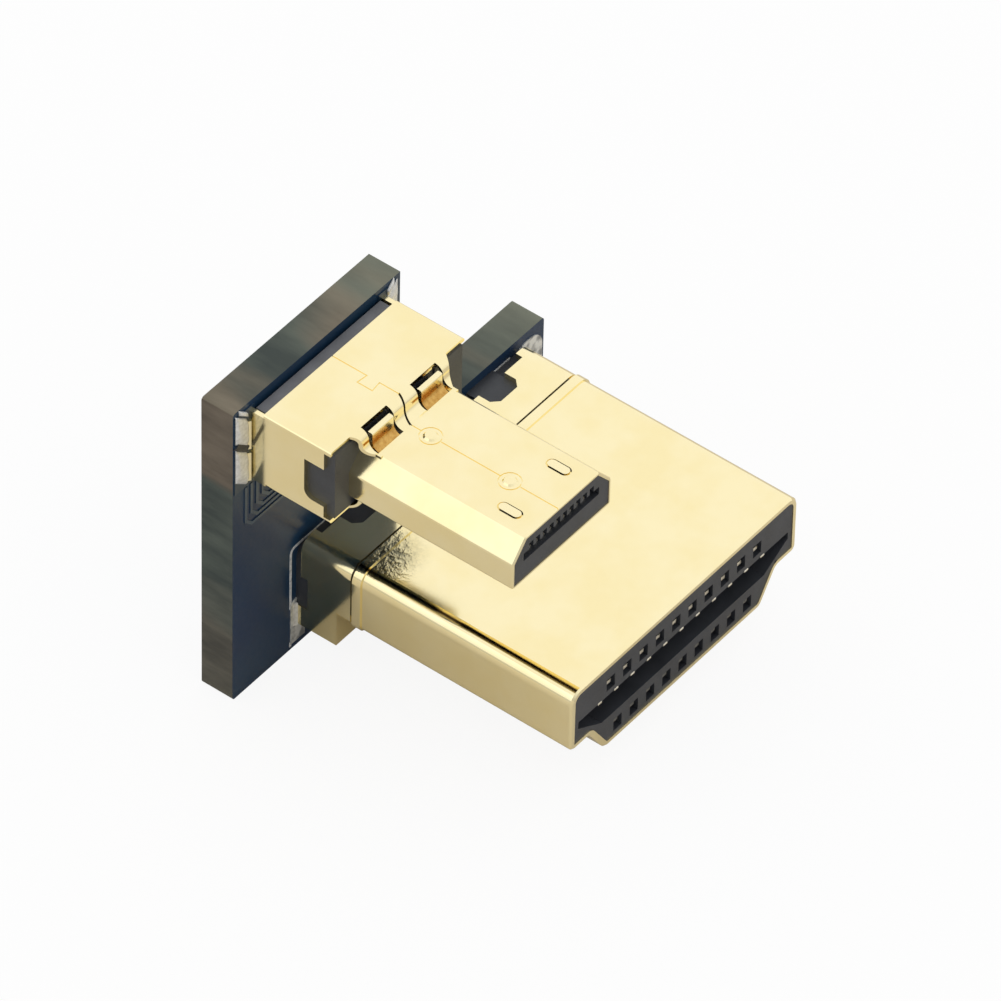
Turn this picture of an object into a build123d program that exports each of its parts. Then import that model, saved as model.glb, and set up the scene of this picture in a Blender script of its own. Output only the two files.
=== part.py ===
from build123d import *
from math import atan, cos, radians, sin
import os

# Adapter board with a full size plug and a micro plug standing off the same face.
# Millimetres, +Z up. The board's front face is at Y = 0 while building and both plugs point to -Y.
# X runs along the board's foot from its left edge, Z up from its foot.

# Board
board_t = 1.5
board_w = 18.9
board_h = 15.15
tower_w = 9.9
ledge_rise = 0.2
board_corner_r = 0.15
step_corner_r = 0.4
copper_t = 0.04
hole_clearance = 0.1

# Wide plug, front shell
wide_right_margin = 1.25
wide_foot = 1.35
wide_w = 13.9
wide_h = 4.45
wide_wing_z = 1.45
wide_wing_in = 5.75
wide_flat = 9.6
wide_wall = 0.25
wide_corner_r = 0.6
wide_wing_r = 0.3
wide_floor_r = 0.4
wide_notch_r = 0.3
wide_reach = 13.2
wide_rear = 2.78
rim_w = 0.4
rim_rise = 0.07
wide_mouth_edge = 0.08

# Wide plug, rear shell
shell_gap = 0.12
rear_shell_back = 0.6
rear_box_front = 2.0
rear_box_drop = 0.05
top_notch_in = 3.4
top_notch_w = 1.6
top_notch_front = 1.45
top_notch_corner = 0.3
ear_w = 0.85
ear_drop = 1.9
ear_back = 0.28
wide_leg_w = 1.0
wide_leg_z = 1.3
leg_root = 0.1
wide_tail_out = 0.7

# Wide plug, insulator and contacts
wide_face_recess = 0.03
cavity_top_half = 6.45
cavity_low_half = 5.0
cavity_low_z = 1.5
cavity_side_z = 2.35
cavity_top_z = 2.7
cavity_depth = 8.5
slot_w = 0.5
slot_h = 0.62
upper_slot_z = 2.98
lower_slot_z = 0.45
slot_bar = 0.7
wide_pitch = 1.0
upper_count = 10
lower_count = 9
wide_contact_w = 0.3
wide_contact_t = 0.16
contact_bow = 0.3
contact_crown_l = 0.6
contact_ramp_l = 1.6
contact_tip_dip = 0.05
contact_setback = 0.12

# Wide plug, base block against the board
wide_base_in = 0.05
wide_base_top = 4.0
wide_base_low = 0.75
wide_base_r = 0.7
tongue_root = 0.5

# Micro plug, shell
micro_left_margin = 0.925
micro_top_margin = 0.25
house_w = 7.95
house_h = 3.7
house_wall = 0.2
house_r = 0.15
house_back = 0.7
house_front = 3.88
house_side_front = 3.58
side_notch_back = 2.65
side_notch_low = 0.74
side_notch_top = 2.66
side_notch_r = 0.4
nose_lift = 0.68
nose_w = 5.9
nose_h = 2.2
nose_wall = 0.12
nose_chamfer_w = 0.76
nose_chamfer_h = 0.9
nose_r = 0.16
nose_tail = 3.3
nose_reach = 11.65
micro_mouth_edge = 0.05
bridge_w = 5.7
bridge_nose_w = 4.6
bridge_run = 0.8
window_w = 1.5
window_spread = 2.9
latch_hole_w = 0.5
latch_hole_l = 1.1
latch_hole_front = 10.88
micro_leg_w = 1.25
micro_leg_gap = 0.4
micro_leg_foot = 0.05
micro_wing_top = 3.55

# Seam of the folded sheet along the micro plug's top
seam_w = 0.045
seam_depth = 0.06
seam_bend_w = 0.09
house_seam_x = 0.08
nose_seam_x = -0.26
dovetail_l = 0.6
dovetail_w = 0.5
dovetail_flare = 0.06
dovetail_back = 2.35
clinch_ring_r = 0.45
clinch_r = 0.3
clinch_rise = 0.07
clinch_back = 5.66
clinch_front = 9.39
clinch_sides = 16

# Micro plug, insulator, base, latches and contacts
micro_face_recess = 0.03
shoulder_front = 3.95
socket_w = 4.5
socket_low = 1.0
socket_top = 1.38
socket_bar = 0.6
socket_depth = 5.5
micro_pitch = 0.4
micro_contact_w = 0.2
micro_contact_t = 0.12
micro_contact_turn = 1.0
micro_contact_setback = 0.25
micro_groove = 0.3
groove_clearance = 0.02
micro_tail_out = 0.45
tail_row_step = 0.75
micro_base_gap = 0.12
micro_base_in = 0.3
micro_base_drop = 0.2
micro_base_rise = 0.4
micro_foot_w = 0.7
latch_t = 0.15
latch_w = 1.25
latch_tab_drop = 0.15
latch_tab_back = 0.25
latch_tab_l = 0.22
latch_tab_r = 0.08
latch_bend_r = 0.38
latch_room = 0.05
latch_hook_gap = 0.06
latch_hook_rise = 0.03

# Solder and copper
wide_joint_sides = 8
micro_joint_sides = 6
wide_hole_r = 0.32
micro_hole_r = 0.22
cone_h = 0.4
cone_flare = 0.14
pad_margin = 0.3
pad_edge = 0.12
left_pad_top = 2.6
pad_drop = 0.45
fillet_reach = 0.3
fillet_rise = 0.14
micro_pad_out = 0.85
trace_w = 0.14
trace_pitch = 0.33
trace_count = 5
trace_left = 0.75
trace_turn_drop = 2.5
trace_turn = 0.35
trace_fan = 0.8
trace_run_end = 6.3

fold = 0.25
overshoot = 1.0
least_r = 0.06

# Shared places
wide_half = wide_w / 2
wide_x = board_w - wide_right_margin - wide_half
wide_top = wide_foot + wide_h
ledge_h = wide_top + ledge_rise
micro_x = micro_left_margin + house_w / 2
house_top = board_h - micro_top_margin
house_foot = house_top - house_h
nose_foot = house_foot + nose_lift
nose_top = nose_foot + nose_h
wide_tail_end = board_t + wide_tail_out
micro_tail_end = board_t + micro_tail_out
bend_end = house_front + bridge_run


def facing(x, z, back):
    # Plane looking out of the board, whose local Y is +Z and whose normal is -Y
    return Plane(origin=(x, -back, z), x_dir=(1, 0, 0), z_dir=(0, -1, 0))


def outward(profile, x, z, back, front):
    return extrude(facing(x, z, back) * profile, front - back)


def block(x0, x1, front, back, z0, z1):
    # Box between two X, two distances out from the board's face and two Z
    centre = ((x0 + x1) / 2, -(front + back) / 2, (z0 + z1) / 2)
    return Pos(*centre) * Box(x1 - x0, front - back, z1 - z0)


def side_band(x, side, outer_half, wall, front, back, z0, z1):
    # Block as thick as one side wall of a plug centred on x
    outer = x + side * outer_half
    inner = outer - side * wall
    return block(min(outer, inner), max(outer, inner), front, back, z0, z1)


def across(face, x, width):
    # Extrudes a (-distance out, Z) side profile to a width centred on x
    plane = Plane(origin=(x - width / 2, 0, 0), x_dir=(0, 1, 0), z_dir=(1, 0, 0))
    return extrude(plane * face, width)


def polygon(*points):
    return make_face(Polyline(*points, close=True))


def joined(pieces):
    pieces = list(pieces)
    return pieces[0].fuse(*pieces[1:]) if len(pieces) > 1 else pieces[0]


def cut_all(body, tools):
    return body.cut(*tools)


def rounded(points, radii, inset):
    # Polygon moved in by the inset, each corner with its own radius, or sharp where little of it is left.
    # A negative radius is a hollow corner.
    face = polygon(*points)
    corners = [(Vector(*point), radius) for point, radius in zip(points, radii)]
    if inset:
        face = offset(face, -inset, kind=Kind.INTERSECTION)
    for radius in sorted(set(radii)):
        own = [place for place, r in corners if r == radius]
        other = [place for place, r in corners if r != radius]
        turn = inset - radius if radius < 0 else radius - inset
        picked = [v for v in face.vertices() if nearest(v, own) < nearest(v, other)]
        if turn >= least_r:
            face = fillet(picked, turn)
    return face


def nearest(vertex, places):
    return min((Vector(vertex.X, vertex.Y) - place).length for place in places) if places else 1e9


def rows(centre_x, pitch):
    # Upper row of contacts, then the lower row set half a pitch between them
    upper = [centre_x + (i - (upper_count - 1) / 2) * pitch for i in range(upper_count)]
    lower = [centre_x + (i - (lower_count - 1) / 2) * pitch for i in range(lower_count)]
    return upper, lower


def wide_profile(inset):
    # D-shaped section: straight sides, a step under each side and a narrower floor
    flat = wide_flat / 2
    points = [(-wide_half, wide_h), (wide_half, wide_h), (wide_half, wide_wing_z), (wide_wing_in, wide_wing_z),
              (flat, 0), (-flat, 0), (-wide_wing_in, wide_wing_z), (-wide_half, wide_wing_z)]
    radii = [wide_corner_r, wide_corner_r, wide_wing_r, -wide_notch_r,
             wide_floor_r, wide_floor_r, -wide_notch_r, wide_wing_r]
    return rounded(points, radii, inset)


def nose_profile(inset):
    # Section with two chamfered upper corners
    half = nose_w / 2
    shoulder = half - nose_chamfer_w
    points = [(-half, 0), (half, 0), (half, nose_h - nose_chamfer_h), (shoulder, nose_h),
              (-shoulder, nose_h), (-half, nose_h - nose_chamfer_h)]
    return rounded(points, [nose_r] * len(points), inset)


def house_profile(inset):
    section = Pos(0, house_h / 2) * Rectangle(house_w - 2 * inset, house_h - 2 * inset)
    return fillet(section.vertices(), house_r - inset) if house_r > inset else section


# Contacts

def wide_contact(x, upper):
    # Flat strip from the board to the mouth, bowed into the cavity near its end
    slot_z = wide_foot + (upper_slot_z if upper else lower_slot_z)
    rest = slot_z + slot_h / 2 + wide_contact_t / 2
    tip = rest + (-contact_tip_dip if upper else contact_tip_dip)
    if upper:
        crown = wide_foot + cavity_top_z - contact_bow
    else:
        crown = wide_foot + cavity_low_z + contact_bow + wide_contact_t
    mouth = wide_reach - wide_face_recess
    crown_front = mouth - slot_bar - contact_ramp_l
    points = [(-wide_tail_end, rest), (mouth - cavity_depth, rest), (crown_front - contact_crown_l, crown),
              (crown_front, crown), (mouth - slot_bar, tip), (mouth - contact_setback, tip)]
    upper_edge = [(-out, z) for out, z in points]
    lower_edge = [(-out, z - wide_contact_t) for out, z in reversed(points)]
    return across(polygon(*(upper_edge + lower_edge)), x, wide_contact_w)


def micro_row_z(index, upper):
    # Tails spread over two rows each, so that neighbours are two pitches apart
    middle = house_foot + house_h / 2
    step = tail_row_step / 2 + (tail_row_step if index % 2 == 0 else 0)
    return middle + (step if upper else -step)


def micro_contact(x, index, upper):
    # Arm in the socket, a step to the tail's row and a tail through the board
    level = nose_foot + (socket_top if upper else socket_low) + micro_contact_t / 2
    row = micro_row_z(index, upper)
    turn = house_back + micro_contact_turn
    turn_front = turn + micro_contact_t
    left = x - micro_contact_w / 2
    right = x + micro_contact_w / 2
    half_t = micro_contact_t / 2
    mouth = nose_reach - micro_face_recess - micro_contact_setback
    arm = block(left, right, mouth, turn, level - half_t, level + half_t)
    rise = block(left, right, turn_front, turn, min(level, row) - half_t, max(level, row) + half_t)
    tail = block(left, right, turn_front, -micro_tail_end, row - half_t, row + half_t)
    return joined([arm, rise, tail])


# Wide plug

def wide_tube(inset, back, front):
    return outward(wide_profile(inset), wide_x, wide_foot, back, front)


def front_shell():
    # Drawn shell with a raised band round its rear end and a mouth whose edge is broken
    body = wide_tube(0, wide_rear, wide_reach) + wide_tube(-rim_rise, wide_rear, wide_rear + rim_w)
    mouth = body.faces().sort_by(Axis.Y)[0].outer_wire().edges()
    body = chamfer(mouth, wide_mouth_edge)
    return body - wide_tube(wide_wall, wide_rear - overshoot, wide_reach + overshoot)


def rear_shell():
    # Squarer shell behind the gap, with two notches in its roof, two ears and two legs
    left = wide_x - wide_half
    right = wide_x + wide_half
    front = wide_rear - shell_gap
    low = wide_foot - rear_box_drop
    box_top = wide_foot + wide_wing_z + wide_wing_r
    body = wide_tube(0, rear_shell_back, front)
    body = body + block(left, right, rear_box_front, rear_shell_back, low, box_top)
    core = wide_tube(wide_wall, rear_shell_back - overshoot, front + overshoot)
    core = core + block(left + wide_wall, right - wide_wall, rear_box_front - wide_wall,
                        rear_shell_back - overshoot, low + wide_wall, box_top)
    body = body - core
    for side in (-1, 1):
        body = body - top_notch(side, wide_top - wide_wall) + wide_ear(side) + wide_leg(side)
    return body


def top_notch(side, low):
    # Opening in the rear shell's roof, from its back edge, with cut front corners
    x0 = wide_x + side * top_notch_in
    x1 = x0 + side * top_notch_w
    left, right = min(x0, x1), max(x0, x1)
    corner = top_notch_corner
    outline = polygon((left, -rear_shell_back + overshoot), (right, -rear_shell_back + overshoot),
                      (right, -top_notch_front + corner), (right - corner, -top_notch_front),
                      (left + corner, -top_notch_front), (left, -top_notch_front + corner))
    return extrude(Pos(0, 0, low) * outline, wide_wall + overshoot)


def wide_ear(side):
    # Tab that carries the shell's upper corner back towards the board
    ring = wide_tube(0, ear_back, rear_shell_back) - wide_tube(wide_wall, ear_back, rear_shell_back)
    return ring & side_band(wide_x, side, wide_half, ear_w, rear_shell_back, ear_back, wide_top - ear_drop, wide_top)


def wide_leg(side):
    return side_band(wide_x, side, wide_half, wide_wall, rear_shell_back + leg_root, -wide_tail_end,
                     wide_leg_z, wide_leg_z + wide_leg_w)


def wide_base():
    # Moulded block between the board and the rear shell, with a tongue behind each notch of the roof
    plate = Pos(0, (wide_base_top + wide_base_low) / 2) * Rectangle(
        2 * (wide_half - wide_base_in), wide_base_top - wide_base_low)
    plate = fillet(plate.vertices().sort_by(Axis.Y)[-2:], wide_base_r)
    body = outward(plate, wide_x, wide_foot, 0, rear_shell_back)
    for side in (-1, 1):
        x0 = wide_x + side * top_notch_in
        x1 = x0 + side * top_notch_w
        body = body + block(min(x0, x1), max(x0, x1), rear_shell_back, 0,
                            wide_foot + wide_base_top - tongue_root, wide_top - wide_wall)
    return body - joined([wide_leg(-1), wide_leg(1), wide_ear(-1), wide_ear(1)])


def wide_insulator(contacts):
    # Moulding that fills the shells, with the mating cavity and a slot for each contact
    mouth = wide_reach - wide_face_recess
    back = mouth - cavity_depth
    body = wide_tube(wide_wall, rear_shell_back, mouth)
    cavity = polygon((-cavity_top_half, cavity_top_z), (cavity_top_half, cavity_top_z),
                     (cavity_top_half, cavity_side_z), (cavity_low_half, cavity_low_z),
                     (-cavity_low_half, cavity_low_z), (-cavity_top_half, cavity_side_z))
    cuts = [outward(cavity, wide_x, wide_foot, back, mouth + overshoot)]
    middle = wide_foot + (cavity_low_z + cavity_top_z) / 2
    half = slot_w / 2
    for row, slot_low in zip(rows(wide_x, wide_pitch), (upper_slot_z, lower_slot_z)):
        z0 = wide_foot + slot_low
        z1 = z0 + slot_h
        for x in row:
            cuts.append(block(x - half, x + half, mouth + overshoot, back, z0, z1))
            cuts.append(block(x - half, x + half, mouth - slot_bar, back, min(z0, middle), max(z1, middle)))
    return cut_all(body, cuts + contacts)


# Micro plug

def micro_tube(inset, back, front):
    return outward(house_profile(inset), micro_x, house_foot, back, front)


def nose_tube(inset, back, front):
    return outward(nose_profile(inset), micro_x, nose_foot, back, front)


def micro_leg(side, upper):
    low = house_foot + micro_leg_foot + ((micro_leg_w + micro_leg_gap) if upper else 0)
    return side_band(micro_x, side, house_w / 2, house_wall, house_back + leg_root, -micro_tail_end, low, low + micro_leg_w)


def bend_arc(run, drop, centre_shift, upper):
    # One of the two equal arcs of an S bend, on a surface shifted outward from the bend's own line
    angle = 2 * atan(drop / run)
    radius = run / (2 * sin(angle))
    places = []
    for part in (0, 0.5, 1):
        turn = angle * part
        if upper:
            ring = radius + centre_shift
            places.append((ring * sin(turn), ring * cos(turn) - radius))
        else:
            ring = radius - centre_shift
            places.append((run - ring * sin(turn), radius - drop - ring * cos(turn)))
    return places


def bridge(top):
    # Sheet that runs from the housing to the nose in an S and narrows on the way, as one stamping
    start_z = house_top if top else house_foot
    drop = start_z - nose_top if top else nose_foot - start_z
    sign = 1 if top else -1

    def place(point):
        return (-house_front - point[0], start_z + sign * point[1])

    outer_1, inner_1 = (bend_arc(bridge_run, drop, shift, True) for shift in (0, -nose_wall))
    outer_2, inner_2 = (bend_arc(bridge_run, drop, shift, False) for shift in (0, -nose_wall))
    tail, tip = -fold, bridge_run + fold
    wire = [Line(place((tail, 0)), place((0, 0))),
            ThreePointArc(*[place(p) for p in outer_1]),
            ThreePointArc(*[place(p) for p in reversed(outer_2)]),
            Line(place((bridge_run, -drop)), place((tip, -drop))),
            Line(place((tip, -drop)), place((tip, -drop - nose_wall))),
            Line(place((tip, -drop - nose_wall)), place((bridge_run, -drop - nose_wall))),
            ThreePointArc(*[place(p) for p in inner_2]),
            ThreePointArc(*[place(p) for p in reversed(inner_1)]),
            Line(place((0, -nose_wall)), place((tail, -nose_wall))),
            Line(place((tail, -nose_wall)), place((tail, 0)))]
    sheet = across(make_face(wire), micro_x, bridge_w)
    wide, narrow = bridge_w / 2, bridge_nose_w / 2
    back, front = -house_front + fold, -bend_end - fold
    plan = polygon((-wide, back), (wide, back), (wide, -house_front), (narrow, -bend_end), (narrow, front),
                   (-narrow, front), (-narrow, -bend_end), (-wide, -house_front))
    return sheet & extrude(Pos(micro_x, 0, house_foot) * plan, house_h)


def latch_x(side):
    return micro_x + side * window_spread / 2


def micro_windows():
    # Openings in the bend, one over each latch
    return [block(latch_x(side) - window_w / 2, latch_x(side) + window_w / 2, bend_end + latch_room, house_front,
                  nose_top - nose_wall, house_top + overshoot) for side in (-1, 1)]


def side_cuts():
    # The side walls stop short of the roof and have a notch that shows the insulator
    outer = house_w / 2 + overshoot
    notch = polygon((-side_notch_back, house_foot + side_notch_low), (-side_notch_back, house_foot + side_notch_top),
                    (-house_front - overshoot, house_foot + side_notch_top),
                    (-house_front - overshoot, house_foot + side_notch_low))
    corner = notch.vertices().filter_by(lambda v: abs(v.X + side_notch_back) < fold).sort_by(Axis.Y)[0]
    cuts = [across(fillet(corner, side_notch_r), micro_x, 2 * outer)]
    for side in (-1, 1):
        cuts.append(side_band(micro_x, side, outer, overshoot + house_wall, house_front + overshoot,
                              house_side_front, house_foot + house_wall, house_top - house_wall))
    return cuts


def seam_strip(start, end, width, depth, top):
    # Straight groove between two (X, distance out) places, cut down from a flat top
    (x0, out0), (x1, out1) = start, end
    run = Vector(x1 - x0, out0 - out1)
    angle = Vector(1, 0).get_signed_angle(run, Vector(0, 0, 1))
    mark = Rectangle(run.length + width, width)
    return extrude(Pos((x0 + x1) / 2, -(out0 + out1) / 2, top - depth) * Rot(0, 0, angle) * mark, depth + overshoot)


def seam_cuts():
    # Seam with a dovetail on the housing and two ring joints on the nose; open through the bend between them
    house_x = micro_x + house_seam_x
    nose_x = micro_x + nose_seam_x
    back, front = dovetail_back, dovetail_back + dovetail_l
    tab_x = house_x - dovetail_w
    path = [(house_x, house_back), (house_x, back), (tab_x, back - dovetail_flare), (tab_x, front + dovetail_flare),
            (house_x, front), (house_x, house_front)]
    cuts = [seam_strip(a, b, seam_w, seam_depth, house_top) for a, b in zip(path, path[1:])]
    for start, end in ((bend_end, clinch_back - clinch_ring_r),
                       (clinch_back + clinch_ring_r, clinch_front - clinch_ring_r),
                       (clinch_front + clinch_ring_r, nose_reach)):
        cuts.append(seam_strip((nose_x, start), (nose_x, end), seam_w, seam_depth, nose_top))
    ring = RegularPolygon(clinch_ring_r + seam_w / 2, clinch_sides)
    ring = ring - RegularPolygon(clinch_ring_r - seam_w / 2, clinch_sides)
    for out in (clinch_back, clinch_front):
        cuts.append(extrude(Pos(nose_x, -out, nose_top - seam_depth) * ring, overshoot))
    cuts.append(seam_strip((house_x, house_front), (nose_x, bend_end), seam_bend_w, house_top - nose_top + nose_wall,
                           house_top))
    return cuts


def micro_shell():
    body = micro_tube(0, house_back, house_front)
    body = body - micro_tube(house_wall, house_back - overshoot, house_front + overshoot)
    body = cut_all(body, side_cuts()) + bridge(True) + bridge(False)
    tube = nose_tube(0, nose_tail, nose_reach)
    mouth = tube.faces().sort_by(Axis.Y)[0].outer_wire().edges()
    tube = chamfer(mouth, micro_mouth_edge) - nose_tube(nose_wall, nose_tail - overshoot, nose_reach + overshoot)
    body = body + tube
    for side in (-1, 1):
        wing = side_band(micro_x, side, house_w / 2, house_wall, house_back + leg_root, 0,
                         house_foot + house_r, house_foot + micro_wing_top)
        body = body + wing + micro_leg(side, False) + micro_leg(side, True)
        hole = Pos(latch_x(side), latch_hole_l / 2 - latch_hole_front, nose_top - nose_wall) * Rot(0, 0, 90)
        body = body - hole * extrude(SlotOverall(latch_hole_l, latch_hole_w), nose_wall + overshoot)
    body = cut_all(body, micro_windows() + seam_cuts())
    for out in (clinch_back, clinch_front):
        foot = Pos(micro_x + nose_seam_x, -out, nose_top) * RegularPolygon(clinch_r, clinch_sides)
        crest = Pos(micro_x + nose_seam_x, -out, nose_top + clinch_rise)
        body = body + loft([foot, crest * RegularPolygon(clinch_r - clinch_rise, clinch_sides)])
    return body


def latch(side):
    # Spring strip under the nose's roof: bent up into its window at the back, hooked through its hole in front
    x = latch_x(side)
    half = latch_hole_w / 2 - latch_hook_gap
    roof = nose_top - nose_wall
    top = house_top - latch_tab_drop
    back = house_front + latch_tab_back
    front = back + latch_tab_l
    bend_z = roof + latch_bend_r
    end = front + latch_bend_r
    inner_r = latch_bend_r + latch_t
    diagonal = cos(radians(45))
    wire = [Line((-back, top), (-front, top)),
            Line((-front, top), (-front, bend_z)),
            ThreePointArc((-front, bend_z),
                          (-end + latch_bend_r * diagonal, bend_z - latch_bend_r * diagonal), (-end, roof)),
            Line((-end, roof), (-end, roof - latch_t)),
            ThreePointArc((-end, roof - latch_t),
                          (-end + inner_r * diagonal, bend_z - inner_r * diagonal), (-front + latch_t, bend_z)),
            Line((-front + latch_t, bend_z), (-front + latch_t, top - latch_t)),
            Line((-front + latch_t, top - latch_t), (-back, top - latch_t)),
            Line((-back, top - latch_t), (-back, top))]
    tab = across(make_face(wire), x, latch_w)
    tab = fillet(tab.edges().filter_by(Axis.X).group_by(Axis.Z)[-1].sort_by(Axis.Y)[0], latch_tab_r)
    strip = block(x - half, x + half, latch_hole_front, end - latch_t, roof - latch_t, roof)
    hook = SlotOverall(latch_hole_l - 2 * latch_hook_gap, latch_hole_w - 2 * latch_hook_gap)
    place = Pos(x, latch_hole_l / 2 - latch_hole_front, roof - latch_t) * Rot(0, 0, 90)
    hook = place * extrude(hook, latch_t + nose_wall + latch_hook_rise)
    return joined([strip, tab, hook])


def micro_insulator(contacts, latches, shell):
    # Moulding that fills the housing and the nose, with the mating socket, contact grooves and latch channels
    mouth = nose_reach - micro_face_recess
    back = mouth - socket_depth
    body = micro_tube(house_wall, house_back, shoulder_front) + nose_tube(nose_wall, nose_tail, mouth)
    low = nose_foot + socket_low
    high = nose_foot + socket_top
    cuts = [block(micro_x - socket_w / 2, micro_x + socket_w / 2, mouth + overshoot, back, low, high)]
    upper, lower = rows(micro_x, micro_pitch)
    half = micro_contact_w / 2 + groove_clearance
    cuts += [block(x - half, x + half, mouth + overshoot, back, high - groove_clearance, high + micro_groove)
             for x in upper]
    cuts += [block(x - half, x + half, mouth - socket_bar, back, low - micro_groove, low + groove_clearance)
             for x in lower]
    roof = nose_top - nose_wall
    strip_low = roof - latch_t - latch_room
    tab_half = latch_w / 2 + latch_room
    for side in (-1, 1):
        x = latch_x(side)
        cuts.append(block(x - tab_half, x + tab_half, bend_end + latch_room, house_front, strip_low, house_top))
        cuts.append(block(x - latch_hole_w / 2, x + latch_hole_w / 2, latch_hole_front + latch_room, house_front,
                          strip_low, nose_top))
    return cut_all(body, cuts + contacts + latches + [shell])


def micro_base(contacts):
    # Thin block that spaces the tails, on two feet against the board
    low = house_foot + micro_base_rise
    high = house_top - micro_base_drop
    left = micro_x - house_w / 2 + micro_base_in
    right = micro_x + house_w / 2 - micro_base_in
    body = block(left, right, house_back, micro_base_gap, low, high)
    feet = [block(x, x + micro_foot_w, house_back, 0, low, low + micro_foot_w) for x in (left, right - micro_foot_w)]
    return cut_all(joined([body] + feet), contacts)


# Board, copper and solder

def back_plane(x, z, out):
    # Plane at a distance behind the board's front face, whose normal is +Y
    return Plane(origin=(x, out, z), x_dir=(1, 0, 0), z_dir=(0, 1, 0))


def leg_hole(leg, front):
    # Plated slot round a leg's section
    box = leg.bounding_box()
    c = hole_clearance
    return block(box.min.X - c, box.max.X + c, front, -board_t - front, box.min.Z - c, box.max.Z + c)


def board(pins, legs):
    outline = polygon((0, 0), (board_w, 0), (board_w, ledge_h), (tower_w, ledge_h), (tower_w, board_h), (0, board_h))
    step = [v for v in outline.vertices() if 0 < v.X < board_w and 0 < v.Y < board_h]
    outline = fillet(step, step_corner_r)
    corners = [v for v in outline.vertices() if v.X in (0, board_w) or v.Y in (0, board_h)]
    outline = fillet(corners, board_corner_r)
    body = extrude(facing(0, 0, 0) * outline, -board_t)
    holes = [extrude(back_plane(x, z, -overshoot) * RegularPolygon(radius, sides), board_t + 2 * overshoot)
             for x, z, radius, sides in pins]
    return cut_all(body, holes + [leg_hole(leg, overshoot) for leg in legs])


def pin_joint(pin, contact):
    # Solder in a plated hole, with a cone round the tail on the back
    x, z, radius, sides = pin
    fill = extrude(back_plane(x, z, 0) * RegularPolygon(radius, sides), board_t)
    cone = loft([back_plane(x, z, board_t) * RegularPolygon(radius + cone_flare, sides),
                 back_plane(x, z, board_t + cone_h) * RegularPolygon(radius - cone_flare / 2, sides)])
    return (fill + cone) - contact


def leg_joint(leg, side):
    # Solder that fills a leg's slot, mounds up on the back and climbs the leg's outer side in front
    box = leg.bounding_box()
    wide = box.size.X + 2 * hole_clearance
    tall = box.size.Z + 2 * hole_clearance
    x, z = (box.min.X + box.max.X) / 2, (box.min.Z + box.max.Z) / 2
    foot = Rectangle(wide + 2 * cone_flare, tall + 2 * cone_flare)
    crest = Rectangle(wide, tall)
    mound = loft([back_plane(x, z, board_t) * chamfer(foot.vertices(), cone_flare),
                  back_plane(x, z, board_t + cone_h) * chamfer(crest.vertices(), cone_flare / 2)])
    outer = box.min.X if side < 0 else box.max.X
    hollow = (side * fillet_reach / 3, -fillet_rise / 2)
    wedge = polygon((0, 0), (side * fillet_reach, 0), hollow, (0, -fillet_rise))
    climb = extrude(Pos(outer, 0, box.min.Z - hole_clearance) * wedge, tall)
    return (leg_hole(leg, 0) + mound + climb) - leg


def pad(x0, x1, z0, z1, round_top):
    # Tinned copper on the front face, with a half-round top where asked
    plate = Pos((x0 + x1) / 2, (z0 + z1) / 2) * Rectangle(x1 - x0, z1 - z0)
    if round_top:
        plate = fillet(plate.vertices().sort_by(Axis.Y)[-2:], min(x1 - x0, z1 - z0) / 2 - copper_t)
    return outward(plate, 0, 0, 0, copper_t)


def leg_pads():
    left_edge = wide_x - wide_half
    right_edge = wide_x + wide_half
    pads = [pad(left_edge - pad_margin, left_edge + wide_wall + pad_margin, pad_margin, left_pad_top, True),
            pad(right_edge - wide_wall - pad_margin, board_w - pad_edge, pad_margin, ledge_h - pad_drop, True)]
    for side in (-1, 1):
        outer = micro_x + side * (house_w / 2 + micro_pad_out)
        inner = micro_x + side * (house_w / 2 - house_wall - hole_clearance)
        pads.append(pad(min(outer, inner), max(outer, inner), house_foot - pad_margin, house_foot + house_h, False))
    return pads


def trace(index):
    # Drops from under the micro plug, turns at 45 degrees and runs to the wide plug's side
    x = trace_left + index * trace_pitch
    z = house_foot - trace_turn_drop + index * trace_pitch * trace_fan
    path = [(x, house_foot - pad_margin - trace_w), (x, z + trace_turn), (x + trace_turn, z), (trace_run_end, z)]
    marks = []
    for (x0, z0), (x1, z1) in zip(path, path[1:]):
        run = Vector(x1 - x0, z1 - z0)
        angle = Vector(1, 0).get_signed_angle(run, Vector(0, 0, 1))
        marks.append(Pos((x0 + x1) / 2, (z0 + z1) / 2) * Rot(0, 0, angle) * Rectangle(run.length + trace_w, trace_w))
    return outward(marks[0] + marks[1] + marks[2], 0, 0, 0, copper_t)


# Assembly
upper_x, lower_x = rows(wide_x, wide_pitch)
wide_contacts = [wide_contact(x, True) for x in upper_x] + [wide_contact(x, False) for x in lower_x]
micro_upper, micro_lower = rows(micro_x, micro_pitch)
micro_contacts = [micro_contact(x, i, True) for i, x in enumerate(micro_upper)]
micro_contacts += [micro_contact(x, i, False) for i, x in enumerate(micro_lower)]
upper_tail_z = wide_foot + upper_slot_z + slot_h / 2
lower_tail_z = wide_foot + lower_slot_z + slot_h / 2
wide_pins = [(x, upper_tail_z, wide_hole_r, wide_joint_sides) for x in upper_x]
wide_pins += [(x, lower_tail_z, wide_hole_r, wide_joint_sides) for x in lower_x]
micro_pins = [(x, micro_row_z(i, True), micro_hole_r, micro_joint_sides) for i, x in enumerate(micro_upper)]
micro_pins += [(x, micro_row_z(i, False), micro_hole_r, micro_joint_sides) for i, x in enumerate(micro_lower)]
wide_legs = [(wide_leg(side), side) for side in (-1, 1)]
micro_legs = [(micro_leg(side, upper), side) for side in (-1, 1) for upper in (False, True)]
latches = [latch(-1), latch(1)]
shell = micro_shell()
wide_joints = [leg_joint(leg, side) for leg, side in wide_legs]
micro_joints = [leg_joint(leg, side) for leg, side in micro_legs]
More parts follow.
